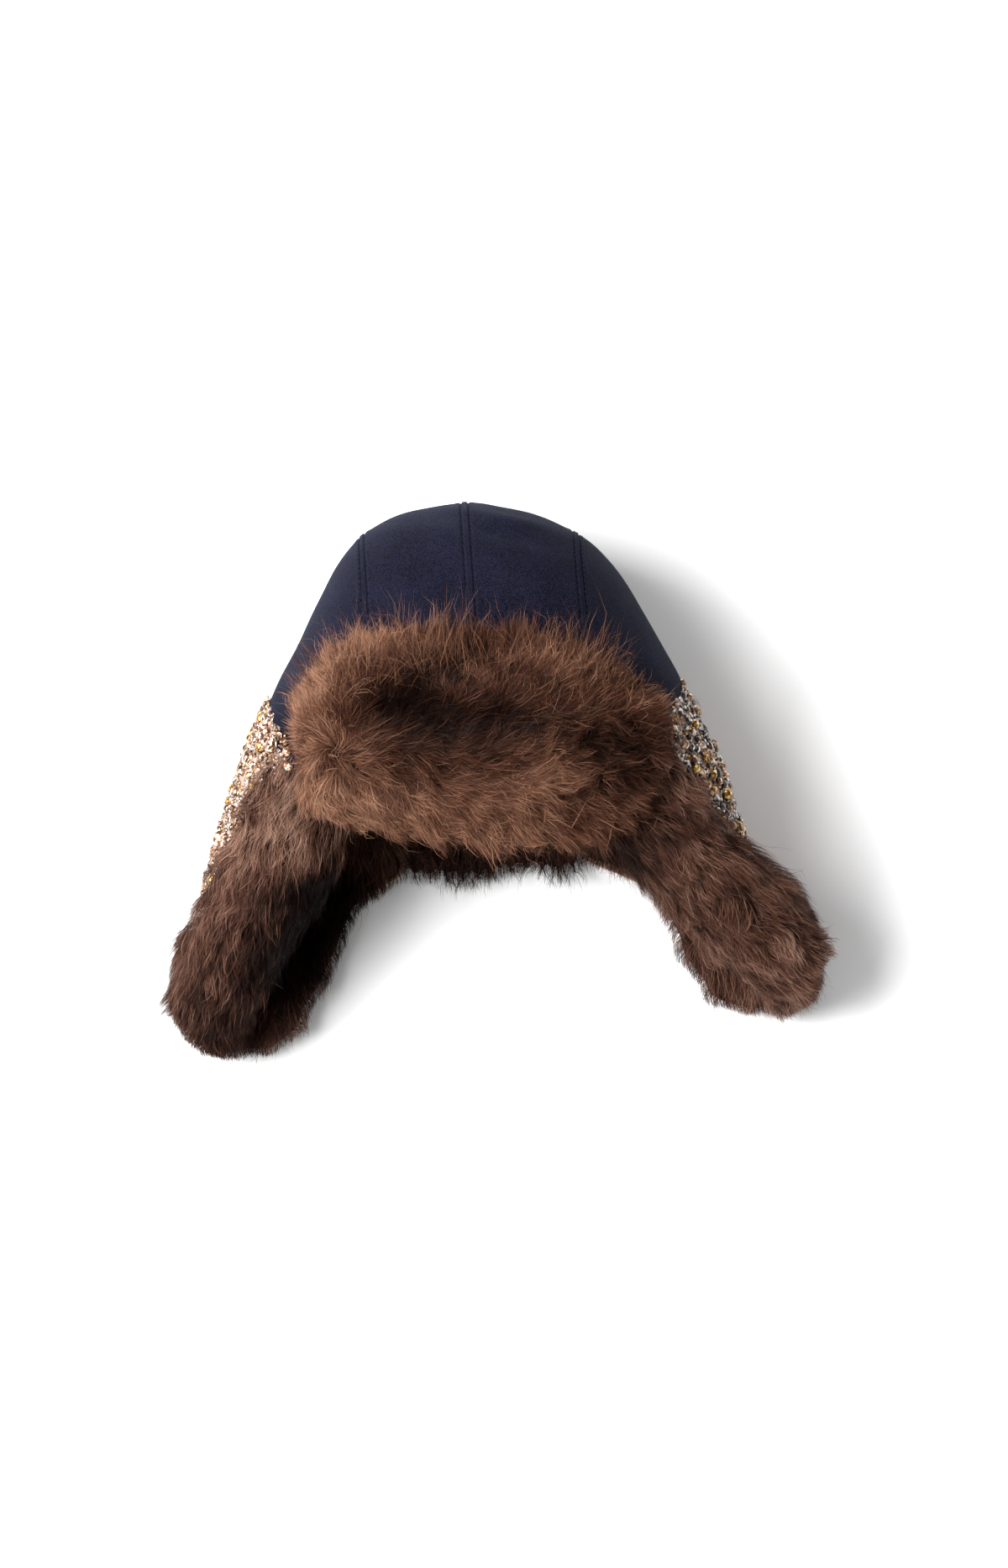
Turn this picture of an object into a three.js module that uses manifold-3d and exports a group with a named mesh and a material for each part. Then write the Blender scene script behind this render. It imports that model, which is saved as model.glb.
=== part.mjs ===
// A winter hat with a wool crown, a turned-up fur front and two fur-lined, beaded ear flaps, lying on its back.
// Millimetres. +Z points up from the surface that it lies on, +Y to the top of the crown, +X to the wearer's left.
// The side at -X, on the left when the front is seen, is called left.
import * as THREE from "three";
import { mergeVertices } from "three/addons/utils/BufferGeometryUtils.js";
import Module from "manifold-3d";

const wasm = await Module();
wasm.setup();

// Driving dimensions
const cloth = 2.2; // wall of the wool and of the flaps' fabric
const gap = 0.35; // clearance between pieces that touch
const squareness = 2.3; // superellipse power of the crown's sections
const seamLeft = -57; // x of the left crown seam
const seamCenter = 0;
const seamRight = 59;
const napeHalf = 50; // half the width of the piece behind the neck
const napeBottom = -52; // y of the neck piece's free edge
const flapTip = -128; // y of the flap cloth's lowest edge
const liningFur = 12; // thickness of the fur inside the flaps
const tipFur = 11; // and outside their tips
const rollTilt = 18; // the fur roll round a flap's edge leans out by this, in degrees
const netInside = 0.35; // the net's inner and outer face, out from the flap cloth
const netOutside = 1.15;
const fieldLow = -50; // the net runs from this angle of a flap's section to fieldHigh, or to the front edge
const fieldHigh = 46;
const fieldShares = [0, 0.17, 0.33, 0.5, 0.67, 0.83, 1];
const brimInside = 4; // the turned-up cloth's inner face, out from the crown
const brimFurThickness = 28;
const brimFurAbove = 5; // the fur reaches this far past the turned-up cloth's upper and lower edge
const brimFurBelow = 7;
const brimAngle = 46.5; // the brim reaches this far each way from its middle, in degrees
const brimShift = 2.5; // its middle lies this far right of the front's middle, in degrees
const brimLean = 0.2; // degrees to the left for each millimetre up

// The crown's wall, from its top to the edge under the brim. In each row left and right are how far the wall stands
// out at that side, centre and rise are the height of the section's middle and half its depth.
const crownWall = [
  { y: 147, left: 8, right: 6, mid: 0, centre: 80, rise: 8 },
  { y: 143.5, left: 34, right: 21, mid: 0, centre: 79, rise: 30 },
  { y: 138, left: 49, right: 37, mid: 0, centre: 78, rise: 43 },
  { y: 131, left: 61, right: 50, mid: 0, centre: 77, rise: 54 },
  { y: 118, left: 74, right: 67, mid: 0, centre: 76, rise: 66 },
  { y: 100, left: 85, right: 80, mid: 0, centre: 75, rise: 75 },
  { y: 80, left: 97, right: 90, mid: 0, centre: 75, rise: 80 },
  { y: 60, left: 110, right: 99, mid: 0, centre: 75, rise: 81 },
  { y: 43, left: 117, right: 107, mid: 0, centre: 75, rise: 81 },
  { y: 24, left: 127, right: 114, mid: 0, centre: 73, rise: 79 },
  { y: 0, left: 134, right: 121, mid: 0, centre: 70, rise: 75 },
  { y: -28, left: 137, right: 124, mid: 0, centre: 66, rise: 71 },
];

// The flaps' wall, which carries on from the crown's and spreads. mid is where its round part begins. frontLeft and
// frontRight are the angles at which the front edges lie on the section: the right flap curls further over.
const flapWall = [
  { y: 60, left: 110, right: 99, mid: 0, centre: 75, rise: 81, frontLeft: 30, frontRight: 30 },
  { y: 43, left: 117, right: 107, mid: 0, centre: 75, rise: 81, frontLeft: 32, frontRight: 32 },
  { y: 24, left: 128, right: 115, mid: 10, centre: 73, rise: 79, frontLeft: 40, frontRight: 40 },
  { y: 0, left: 139, right: 126, mid: 40, centre: 66, rise: 71, frontLeft: 51, frontRight: 57 },
  { y: -15, left: 145, right: 129.5, mid: 57, centre: 61.5, rise: 66, frontLeft: 59, frontRight: 66 },
  { y: -30, left: 151, right: 133, mid: 72, centre: 57, rise: 61, frontLeft: 65, frontRight: 77 },
  { y: -54, left: 160, right: 140, mid: 93, centre: 50, rise: 54, frontLeft: 61, frontRight: 85 },
  { y: -75, left: 166, right: 151, mid: 106, centre: 44, rise: 48, frontLeft: 56, frontRight: 76 },
  { y: -97, left: 170, right: 163, mid: 120, centre: 39, rise: 43, frontLeft: 51, frontRight: 64 },
  { y: -115, left: 170, right: 168, mid: 128, centre: 36, rise: 39, frontLeft: 43, frontRight: 41 },
  { y: flapTip, left: 163, right: 163, mid: 134, centre: 34, rise: 37, frontLeft: 11, frontRight: 11 },
];

// The rear edge of a flap on the surface: its distance from the middle at each height.
const rearEdge = [
  { y: 60, inner: napeHalf + gap },
  { y: -54, inner: napeHalf + gap },
  { y: -60, inner: 76 },
  { y: -75, inner: 90 },
  { y: -97, inner: 103 },
  { y: -115, inner: 115 },
  { y: flapTip, inner: 134 },
];

// The crown's lower edge, seen from the side: its y at each height above the surface, halfway across. It is higher
// on the left by hemLean for each millimetre.
const hem = [
  { z: -30, y: 35 },
  { z: 25, y: 37 },
  { z: 60, y: 42 },
  { z: 80, y: 45 },
  { z: 96, y: 40 },
  { z: 108, y: 34 },
  { z: 118, y: 24 },
  { z: 123, y: -6 },
  { z: 126, y: -24 },
  { z: 260, y: -24 },
];
const hemLean = 0.035;

// The main cut stones of each flap: the height of their middle, the angle at which they sit on the wall, their
// half width and half length, how far they stand above the net, and how far they are turned on it, in degrees.
const stones = {
  left: [
    { y: 37.2, angle: 17, long: 2.4, wide: 2.4, high: 2.6, turn: 0 },
    { y: 32.6, angle: 19, long: 2.8, wide: 2.6, high: 2.8, turn: 0 },
    { y: 30.6, angle: 7, long: 3.2, wide: 2.4, high: 2.8, turn: 70 },
    { y: 22.5, angle: 32, long: 3.9, wide: 3.3, high: 3.6, turn: 20 },
    { y: 16.2, angle: 28, long: 2.5, wide: 2.5, high: 2.6, turn: 0 },
    { y: 16.9, angle: 14, long: 4.8, wide: 2.3, high: 2.8, turn: 0 },
    { y: 12.9, angle: 25, long: 3, wide: 2.2, high: 2.4, turn: 60 },
    { y: -1.4, angle: 17, long: 2.7, wide: 2.7, high: 3, turn: 0 },
    { y: -16.2, angle: 18, long: 2.4, wide: 2.4, high: 2.6, turn: 0 },
    { y: -26.9, angle: 17, long: 2.6, wide: 2.6, high: 2.8, turn: 0 },
    { y: -29.8, angle: 23, long: 3.4, wide: 1.3, high: 2, turn: -25 },
    { y: 22, angle: -22, long: 2.6, wide: 2.6, high: 2.6, turn: 0 },
    { y: -18, angle: -20, long: 2.8, wide: 2.8, high: 3, turn: 0 },
    { y: -40, angle: -28, long: 2.4, wide: 2.4, high: 2.4, turn: 0 },
  ],
  right: [
    { y: 28.3, angle: 15, long: 2.6, wide: 2.6, high: 2.6, turn: 0 },
    { y: 23.2, angle: 13, long: 3.8, wide: 1.6, high: 2.4, turn: 0 },
    { y: 22.2, angle: 0, long: 2.8, wide: 2.8, high: 4.2, turn: 0 },
    { y: 14.1, angle: 17, long: 2.6, wide: 1.9, high: 2.4, turn: 0 },
    { y: 2.8, angle: 32, long: 2.5, wide: 2.5, high: 2.4, turn: 0 },
    { y: -4.7, angle: 23, long: 2.5, wide: 2.5, high: 2.6, turn: 0 },
    { y: -11.5, angle: 21, long: 3.2, wide: 3.2, high: 3, turn: 0 },
    { y: -24.2, angle: 22, long: 4.1, wide: 4.1, high: 4.8, turn: 0 },
    { y: -30.5, angle: 32, long: 3.2, wide: 2.1, high: 2.8, turn: 15 },
    { y: -42.6, angle: 24, long: 3.6, wide: 3.6, high: 4.4, turn: 0 },
    { y: -36.5, angle: 36, long: 2.8, wide: 1.7, high: 2.4, turn: 70 },
    { y: 20, angle: -24, long: 2.6, wide: 2.2, high: 2.6, turn: 40 },
    { y: -14, angle: -34, long: 3.4, wide: 2.8, high: 3.2, turn: 0 },
    { y: -36, angle: -22, long: 2.6, wide: 2.6, high: 2.6, turn: 0 },
  ],
};

// One column of a table at a height between its rows, along a smooth curve that never passes its rows' values.
function column(rows, name, y) {
  const last = rows.length - 1;
  const found = rows.findIndex((row) => row.y <= y);
  const i = found < 0 ? last : Math.max(found, 1);
  const rate = (k) => {
    const j = Math.min(Math.max(k, 1), last);
    return (rows[j][name] - rows[j - 1][name]) / (rows[j].y - rows[j - 1].y);
  };
  const slope = (k) => {
    const [before, after] = [rate(k), rate(k + 1)];
    return before * after > 0 ? (2 * before * after) / (before + after) : 0;
  };
  const length = rows[i].y - rows[i - 1].y;
  const t = THREE.MathUtils.clamp((y - rows[i - 1].y) / length, 0, 1);
  const step = rows[i][name] - rows[i - 1][name];
  const bend = (slope(i - 1) * length - step) * (1 - t) - (slope(i) * length - step) * t;
  return rows[i - 1][name] + step * t + t * (1 - t) * bend;
}

const power = (value) => Math.sign(value) * Math.abs(value) ** (2 / squareness);

// A point of a wall on side -1 or 1, at height y and at an angle from -90 (on the surface) to 90 (the front), moved
// out of the wall by the distance out.
function wallPoint(rows, side, y, angle, out) {
  const turn = THREE.MathUtils.degToRad(angle);
  const mid = column(rows, "mid", y);
  const reach = column(rows, side < 0 ? "left" : "right", y) - mid + out;
  const z = column(rows, "centre", y) + (column(rows, "rise", y) + out) * power(Math.sin(turn));
  return new THREE.Vector3(side * (mid + reach * power(Math.cos(turn))), y, Math.max(z, -out));
}

const sideName = (side) => (side < 0 ? "Left" : "Right");

// The top of a flap's stone field at a height, in degrees.
const fieldTop = (side, y) => Math.min(fieldHigh, column(flapWall, "front" + sideName(side), y) - 3);

// The angles of one flap's section at a height: a low one, seven across the field where its stones lie, and two up to
// the front edge.
function flapAngles(side, y) {
  const front = column(flapWall, "front" + sideName(side), y);
  const top = fieldTop(side, y);
  const field = fieldShares.map((share) => THREE.MathUtils.lerp(fieldLow, top, share));
  return [-61, ...field, (top + front) / 2, front];
}

// One flap's section from its rear edge on the surface to its front edge, each moved past its end by room.
function flapLine(side, y, out, room = 0) {
  const rear = new THREE.Vector3(side * (column(rearEdge, "inner", y) - room), y, -out);
  const angles = flapAngles(side, y);
  if (room) angles.push(angles.at(-1) + room);
  return [rear, ...angles.map((angle) => wallPoint(flapWall, side, y, angle, out))];
}

// A closed solid through rings that have the same number of points. Each quad is split along its shorter diagonal.
function loft(rings) {
  const size = rings[0].length;
  const places = rings.flat().flatMap((p) => [p.x, p.y, p.z]);
  const faces = [];
  for (let r = 0; r + 1 < rings.length; r++) {
    for (let k = 0; k < size; k++) {
      const a = r * size + k;
      const b = r * size + ((k + 1) % size);
      const [p, q] = [rings[r][k], rings[r][(k + 1) % size]];
      const [u, v] = [rings[r + 1][k], rings[r + 1][(k + 1) % size]];
      if (q.distanceTo(u) < p.distanceTo(v)) faces.push(a, b, a + size, b, b + size, a + size);
      else faces.push(a, b, b + size, a, b + size, a + size);
    }
  }
  for (const [ring, flipped] of [[0, true], [rings.length - 1, false]]) {
    const flat = flatCap(rings[ring]);
    for (const [a, b, c] of flat) {
      const corner = [a, b, c].map((k) => ring * size + k);
      faces.push(...(flipped ? corner.reverse() : corner));
    }
  }
  return solid(places, faces);
}

// Triangles that fill a ring, which may be hollow-sided.
function flatCap(ring) {
  const middle = ring.reduce((sum, p) => sum.add(p), new THREE.Vector3()).divideScalar(ring.length);
  const normal = new THREE.Vector3();
  ring.forEach((p, k) => {
    const next = ring[(k + 1) % ring.length];
    normal.add(p.clone().sub(middle).cross(next.clone().sub(middle)));
  });
  normal.normalize();
  const right = ring[1].clone().sub(ring[0]).projectOnPlane(normal).normalize();
  const up = normal.clone().cross(right);
  const outline = ring.map((p) => new THREE.Vector2(p.dot(right), p.dot(up)));
  return THREE.ShapeUtils.triangulateShape(outline, []);
}

// A manifold solid from places and faces, turned to face out.
function solid(places, faces) {
  const triVerts = new Uint32Array(faces);
  const made = new wasm.Manifold(new wasm.Mesh({ numProp: 3, vertProperties: new Float32Array(places), triVerts }));
  if (made.volume() > 0) return made;
  triVerts.reverse();
  return new wasm.Manifold(new wasm.Mesh({ numProp: 3, vertProperties: new Float32Array(places), triVerts }));
}

// A manifold solid from one of three.js's own geometries.
function solidOf(geometry) {
  geometry.deleteAttribute("normal");
  geometry.deleteAttribute("uv");
  const merged = mergeVertices(geometry, 1e-3);
  return solid(merged.attributes.position.array, merged.index.array);
}

const joined = (parts) => parts.reduce((sum, part) => sum.add(part));

// A block between two corners.
function block(low, high) {
  const size = high.map((value, i) => value - low[i]);
  const box = new THREE.BoxGeometry(...size);
  box.translate(...low.map((value, i) => value + size[i] / 2));
  return solidOf(box);
}

// Everything above the crown's lower edge, or below it when side is -1, with the edge moved by the distance move.
function hemCutter(side, move) {
  const far = 300;
  const outline = hem.map((row) => new THREE.Vector2(row.y + move, row.z));
  outline.push(new THREE.Vector2(side * far, hem[hem.length - 1].z), new THREE.Vector2(side * far, hem[0].z));
  const prism = new THREE.ExtrudeGeometry(new THREE.Shape(outline), { depth: 2 * far, bevelEnabled: false });
  // The outline was drawn as (y, z); the prism's depth becomes x.
  prism.applyMatrix4(new THREE.Matrix4().set(0, 0, 1, -far, 1, 0, -hemLean, hemLean * far, 0, 1, 0, 0, 0, 0, 0, 1));
  return solidOf(prism);
}

// The four crown panels: one hollow dome, cut at its seams.
function crownPanels() {
  const angles = [-90, -66, -44, -22, 0, 22, 44, 66, 90];
  const dome = (out, top) => {
    const heights = crownWall.map((row) => row.y).filter((y) => y < top);
    const rings = [top, ...heights].map((y) => {
      const right = angles.map((angle) => wallPoint(crownWall, 1, y, angle, out));
      const left = angles.slice(1, -1).map((angle) => wallPoint(crownWall, -1, y, angle, out));
      return [...right, ...left.reverse()];
    });
    return loft(rings);
  };
  const top = crownWall[0].y;
  const shell = dome(0, top).subtract(dome(-cloth, top - cloth)).intersect(hemCutter(1, 0));
  const seams = [-400, seamLeft, seamCenter, seamRight, 400];
  const names = ["crown_side_left", "crown_center_left", "crown_center_right", "crown_side_right"];
  return names.map((name, i) => {
    const strip = block([seams[i] + gap / 2, -200, -50], [seams[i + 1] - gap / 2, 200, 250]);
    return [name, shell.intersect(strip)];
  });
}

// Where the turned-up brim lies: its lower and upper edge at a share from -1 (left end) to 1 (right end).
const brimBottom = (share) => -29 + 45 * share ** 2 + 13.5 * share;
const brimTop = (share) => 73 - 24 * share ** 2 - 2 * share;

// A point on the brim, out from the crown, at a share across and a height y. The brim leans a little to the right.
function brimPoint(share, y, out) {
  const offset = brimAngle * share + brimShift - brimLean * (y - 20);
  return wallPoint(crownWall, offset < 0 ? -1 : 1, y, 90 - Math.abs(offset), out);
}

// The turned-up wool, or with room above 0 the space to keep clear round it. Its lower edge is the fold, which lies
// against the crown.
function brimCloth(room) {
  const stations = 12;
  const rows = [
    { up: 0, out: gap + 0.1 },
    { up: 0.1, out: 0.7 * brimInside },
    { up: 0.3, out: brimInside },
    { up: 0.65, out: brimInside },
    { up: 1, out: brimInside },
  ];
  const rings = [];
  for (let i = 0; i <= stations; i++) {
    const share = (1 + room / 60) * (-1 + (2 * i) / stations);
    const line = (thick, move) =>
      rows.map((row, k) => {
        const y = THREE.MathUtils.lerp(brimBottom(share), brimTop(share), row.up);
        return brimPoint(share, y + (k === 0 ? -room : k === 4 ? room : 0), row.out + thick + move);
      });
    rings.push([...line(0, -room), ...line(cloth, room).reverse()]);
  }
  return loft(rings);
}

// The brim fur's surface at a share across, and a share up between its lower and upper edge: a rounded pad, thinner
// and narrower towards its ends, with three hollows in which the fur parts. level 0 is the pad's back, 1 its surface.
function brimPelt(share, up, level) {
  const hollows = [
    { across: -0.42, up: 0.55, wide: 0.3, deep: 7 },
    { across: 0.12, up: 0.42, wide: 0.16, deep: 5 },
    { across: 0.58, up: 0.45, wide: 0.22, deep: 7 },
  ];
  const end = Math.sqrt(Math.max(1 - (share / 1.08) ** 2, 0.02));
  const low = brimBottom(share) - brimFurBelow;
  const high = brimTop(share) + brimFurAbove;
  const y = (low + high) / 2 + (up - 0.5) * (high - low) * (0.5 + 0.5 * end);
  const round = Math.sin(Math.PI * THREE.MathUtils.clamp(up, 0, 1));
  const taken = hollows.map((h) => h.deep * Math.exp(-(((share - h.across) / h.wide) ** 2) - ((up - h.up) / 0.2) ** 2));
  const crest = brimFurThickness * round ** 0.45 - taken.reduce((sum, depth) => sum + depth, 0) * round;
  return brimPoint(share, y, brimInside + 0.6 * cloth + (3.4 + crest * (0.3 + 0.7 * end)) * level);
}

// The brim's fur, or with room above 0 the space to keep clear round it. It is one body whose rings run up the back
// and down over rows of overlapping locks: the upper rows point up and the lower ones down.
function brimFur(room) {
  const stations = 28;
  const back = [0.04, 0.35, 0.65, 0.96];
  const locks = [
    { up: 1.03, lift: 7, points: 1 },
    { up: 0.89, lift: -3 },
    { up: 0.93, lift: 3, points: 1 },
    { up: 0.72, lift: 0 },
    { up: 0.54, lift: 0 },
    { up: 0.33, lift: 3, points: -1 },
    { up: 0.38, lift: -3 },
    { up: 0.12, lift: 3, points: -1 },
    { up: 0.17, lift: -3 },
    { up: -0.04, lift: 8, points: -1 },
  ];
  const rings = [];
  for (let i = 0; i <= stations; i++) {
    const share = (1.03 + room / 100) * (-1 + (2 * i) / stations);
    const fade = 0.4 + 0.6 * Math.sqrt(Math.max(1 - share ** 2, 0));
    const outwards = (up) => brimPelt(share, up, 1).sub(brimPelt(share, up, 0)).normalize();
    const ring = back.map((up) => brimPelt(share, up, 0).addScaledVector(outwards(up), -room));
    locks.forEach((row, k) => {
      const long = row.points ? ((i + k) % 2 ? 1 : -1) : 0;
      const up = row.up + (row.points ?? 0) * (0.035 * long * fade + room / 90);
      ring.push(brimPelt(share, up, 1).addScaledVector(outwards(up), (row.lift + 2 * long) * fade + room));
    });
    rings.push(ring);
  }
  return loft(rings).subtract(brimCloth(gap));
}

// A strip of a flap between two distances out of the wall, over a range of heights.
function flapStrip(side, inside, outside, heights, room = 0) {
  const line = (y, out) => flapLine(side, y, out, room);
  return loft(heights.map((y) => [...line(y, inside), ...line(y, outside).reverse()]));
}

function flapCloth(side) {
  const heights = flapWall.map((row) => row.y);
  return flapStrip(side, -cloth, 0, heights).intersect(hemCutter(-1, -gap));
}

// The part of a flap that carries the net, or with room above 0 the space to keep clear round it.
function fieldStrip(side, room) {
  const heights = flapWall.map((row) => row.y).filter((y) => y > -60);
  if (room) heights.push(heights.at(-1) - room);
  const last = 1 + fieldShares.length;
  const line = (y, out) => {
    const points = flapLine(side, y, out);
    const field = points.slice(2, last + 1);
    if (!room) return field;
    return [points[1].clone().lerp(field[0], 0.4), ...field, field.at(-1).clone().lerp(points[last + 1], 0.6)];
  };
  const net = [netInside - room, netOutside + room];
  return loft(heights.map((y) => [...line(y, net[0]), ...line(y, net[1]).reverse()]));
}

// The point of the net's faceted surface at a height and an angle.
function netPoint(side, y, angle, out) {
  const below = flapWall.findIndex((row) => row.y < y);
  const [high, low] = [flapWall[below - 1].y, flapWall[below].y];
  const share = (angle - fieldLow) / (fieldTop(side, y) - fieldLow);
  const k = Math.max(fieldShares.findIndex((value) => value > share), 1);
  const t = (share - fieldShares[k - 1]) / (fieldShares[k] - fieldShares[k - 1]);
  const at = (height) => {
    const line = flapLine(side, height, out);
    return line[k + 1].clone().lerp(line[k + 2], t);
  };
  return at(high).lerp(at(low), (high - y) / (high - low));
}

// A stone with eight sides, a girdle, eight crown facets and a table, standing on the net.
function cutStone(side, stone, room) {
  const foot = netPoint(side, stone.y, stone.angle, netInside + 0.3);
  const aside = netPoint(side, stone.y, stone.angle - 3, netInside + 0.3).sub(foot);
  const upward = netPoint(side, stone.y + 2, stone.angle, netInside + 0.3).sub(foot);
  const up = aside.cross(upward).multiplyScalar(side).normalize();
  const along = upward.projectOnPlane(up).normalize();
  along.applyAxisAngle(up, THREE.MathUtils.degToRad(stone.turn * side));
  const across = up.clone().cross(along);
  const levels = [
    { height: 0, size: 0.7 },
    { height: 0.45 * stone.high + netOutside, size: 1 },
    { height: stone.high + netOutside + room, size: 0.58 },
  ];
  const rings = levels.map((level) => {
    const ring = [];
    for (let k = 0; k < 8; k++) {
      const turn = ((k + 0.5) * Math.PI) / 4;
      const point = foot.clone().addScaledVector(up, level.height);
      point.addScaledVector(along, Math.cos(turn) * (stone.long + room) * level.size);
      ring.push(point.addScaledVector(across, Math.sin(turn) * (stone.wide + room) * level.size));
    }
    return ring;
  });
  return loft(rings);
}

// A flap's net with its stones, or with room above 0 the space to keep clear round them.
function beadField(side, room) {
  const net = fieldStrip(side, room).intersect(hemCutter(-1, -gap));
  const set = side < 0 ? stones.left : stones.right;
  const cut = joined(set.map((stone) => cutStone(side, stone, room)));
  return net.add(room ? cut : cut.subtract(flapStrip(side, -cloth, netInside / 2, flapWall.map((row) => row.y))));
}

// The free edge of a flap as three paths: down its front edge, round its tip and up its rear edge to the neck piece.
// wide and tall are half the fur roll's width and half its thickness there.
function flapEdge(side) {
  const front = [
    { y: 8, left: 9, right: 9, tall: 8 },
    { y: -3, left: 22, right: 20, tall: 15 },
    { y: -14, left: 29, right: 25, tall: 18 },
    { y: -32, left: 32, right: 28, tall: 20 },
    { y: -52, left: 32, right: 29, tall: 21 },
    { y: -72, left: 31, right: 33, tall: 21 },
    { y: -90, left: 29, right: 32, tall: 20 },
    { y: -104, left: 25, right: 26, tall: 19 },
    { y: -117, left: 20, right: 21, tall: 16.5 },
  ].map((row) => ({ point: flapLine(side, row.y, 0).at(-1), wide: side < 0 ? row.left : row.right, tall: row.tall }));
  const sole = flapLine(side, flapTip + 3, 0);
  sole.unshift(sole[0].clone().add(new THREE.Vector3(side * -8, 4, 10)));
  const tip = [10, 8, 5, 3, 1, 0].map((step, i) => ({
    point: sole[step],
    wide: [17, 20, 21, 21, 20, 14][i],
    tall: [14, 15, 14, 13, 12, 10][i],
  }));
  const rear = [-120, -104, -88, -72, -61].map((y, i) => {
    const point = flapLine(side, y, 0)[0].add(new THREE.Vector3(side * 3, 0, 9));
    return { point, wide: [16, 14, 12, 11, 8][i], tall: [12, 11, 11, 10, 7][i] };
  });
  return { front, tip, rear };
}

// A roll of fur along a path, as rows of overlapping locks that point along it. The locks of a row are alternately
// long and short. Its section is wide towards aim.
function furRoll(path, side, rows, aim) {
  const sides = 9;
  const curve = new THREE.CatmullRomCurve3(path.map((stop) => stop.point));
  const tilt = THREE.MathUtils.degToRad(rollTilt * side);
  const rings = [];
  const addRing = (place) => {
    const ring = [];
    for (let k = 0; k < sides; k++) {
      const { t, size } = place(k);
      const end = THREE.MathUtils.clamp(t, 0, 1);
      const along = curve.getTangent(end);
      const out = aim.clone().projectOnPlane(along).normalize().applyAxisAngle(along, tilt);
      const up = out.clone().cross(along).multiplyScalar(-side);
      const i = Math.min(Math.floor(end * (path.length - 1)), path.length - 2);
      const share = end * (path.length - 1) - i;
      const wide = THREE.MathUtils.lerp(path[i].wide, path[i + 1].wide, share) * size;
      const tall = THREE.MathUtils.lerp(path[i].tall, path[i + 1].tall, share) * size;
      const turn = (2 * Math.PI * k) / sides;
      const point = curve.getPoint(end).addScaledVector(along, (t - end) * curve.getLength());
      ring.push(point.addScaledVector(out, Math.cos(turn) * wide).addScaledVector(up, Math.sin(turn) * tall));
    }
    rings.push(ring);
  };
  for (let row = 0; row < rows; row++) {
    addRing(() => ({ t: row / rows, size: 0.88 }));
    addRing((k) => ((row + k) % 2 ? { t: (row + 1.3) / rows, size: 1.08 } : { t: (row + 1.02) / rows, size: 0.96 }));
  }
  return loft(rings);
}

function flapFur(side) {
  const lining = flapStrip(side, -cloth - liningFur, -0.4 * cloth, [28, 0, -30, -54, -75, -97, -115, flapTip - 3]);
  const tipCover = flapStrip(side, -0.6 * cloth, tipFur, [-78, -97, -115, flapTip - 4], 2);
  const keepClear = joined([
    flapStrip(side, -cloth - gap, gap, [...flapWall.map((row) => row.y), flapTip - 1.5 * gap], gap),
    beadField(side, gap),
    brimFur(gap),
    brimCloth(gap),
    hemCutter(1, -2),
    block([-400, -400, -100], [400, 400, 0]),
    block([-napeHalf - 2 * gap, -300, -50], [napeHalf + 2 * gap, 300, 300]),
  ]);
  const edge = flapEdge(side);
  const outwards = new THREE.Vector3(side, 0, -0.2);
  const rolls = [
    furRoll(edge.front, side, 8, outwards),
    furRoll(edge.tip, side, 4, new THREE.Vector3(0, -1, 0)),
    furRoll(edge.rear, side, 4, outwards),
  ];
  return largest(largest(joined([lining, tipCover, ...rolls])).subtract(keepClear));
}

// The largest of a solid's loose pieces, without the sealed hollows inside it.
function largest(shape) {
  return shape.decompose().sort((a, b) => b.volume() - a.volume())[0];
}

function napeCloth() {
  return block([-napeHalf, napeBottom, 0], [napeHalf, 60, cloth]).intersect(hemCutter(-1, -gap));
}

// The neck piece's fur: two rows of overlapping locks, the lower one its fringe.
function napeFur() {
  const stations = 22;
  const rings = [];
  for (let i = 0; i <= stations; i++) {
    const x = THREE.MathUtils.lerp(-napeHalf + gap, napeHalf - gap, i / stations);
    const long = i % 2 ? 1 : -1;
    const wave = 1.5 * Math.sin(0.11 * x);
    const ring = [
      [26, cloth + gap],
      [24, 10 + wave],
      [0, 14 + wave],
      [-20, 15 + wave],
      [-36 + 3 * long, 17 + wave],
      [-33, 12 + wave],
      [-59 + 1.5 * wave - 4 * long, 8 - long],
      [napeBottom + 1, cloth + gap],
    ];
    rings.push(ring.map(([y, z]) => new THREE.Vector3(x, y, z)));
  }
  return loft(rings);
}

const wool = { color: 0x23243a, roughness: 0.95, metalness: 0 };
const fur = { color: 0x5c3a2a, roughness: 0.8, metalness: 0 };
const darkFur = { color: 0x2c1d18, roughness: 0.85, metalness: 0 };
const fabric = { color: 0xc7a58c, roughness: 0.7, metalness: 0 };
const crystal = { color: 0xd9c7ad, roughness: 0.15, metalness: 0.1 };

// A named mesh of a manifold solid.
function piece(name, shape, look) {
  const { vertProperties, triVerts, numProp } = shape.getMesh();
  const places = new Float32Array((vertProperties.length / numProp) * 3);
  for (let i = 0; i < places.length / 3; i++) {
    for (let k = 0; k < 3; k++) places[3 * i + k] = vertProperties[numProp * i + k];
  }
  const geometry = new THREE.BufferGeometry();
  geometry.setAttribute("position", new THREE.BufferAttribute(places, 3));
  geometry.setIndex(new THREE.BufferAttribute(new Uint32Array(triVerts), 1));
  geometry.computeVertexNormals();
  const mesh = new THREE.Mesh(geometry, new THREE.MeshStandardMaterial(look));
  mesh.name = name;
  return mesh;
}

const hat = new THREE.Group();
for (const [name, shape] of crownPanels()) hat.add(piece(name, shape, wool));
hat.add(piece("brim_cloth", brimCloth(0), wool));
hat.add(piece("brim_fur", brimFur(0), fur));
for (const [side, name] of [[-1, "left"], [1, "right"]]) {
  hat.add(piece("ear_flap_cloth_" + name, flapCloth(side), fabric));
  hat.add(piece("bead_field_" + name, beadField(side, 0), crystal));
  hat.add(piece("ear_flap_fur_" + name, flapFur(side), fur));
}
hat.add(piece("nape_cloth", napeCloth(), wool));
hat.add(piece("nape_fur", napeFur(), darkFur));

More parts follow.
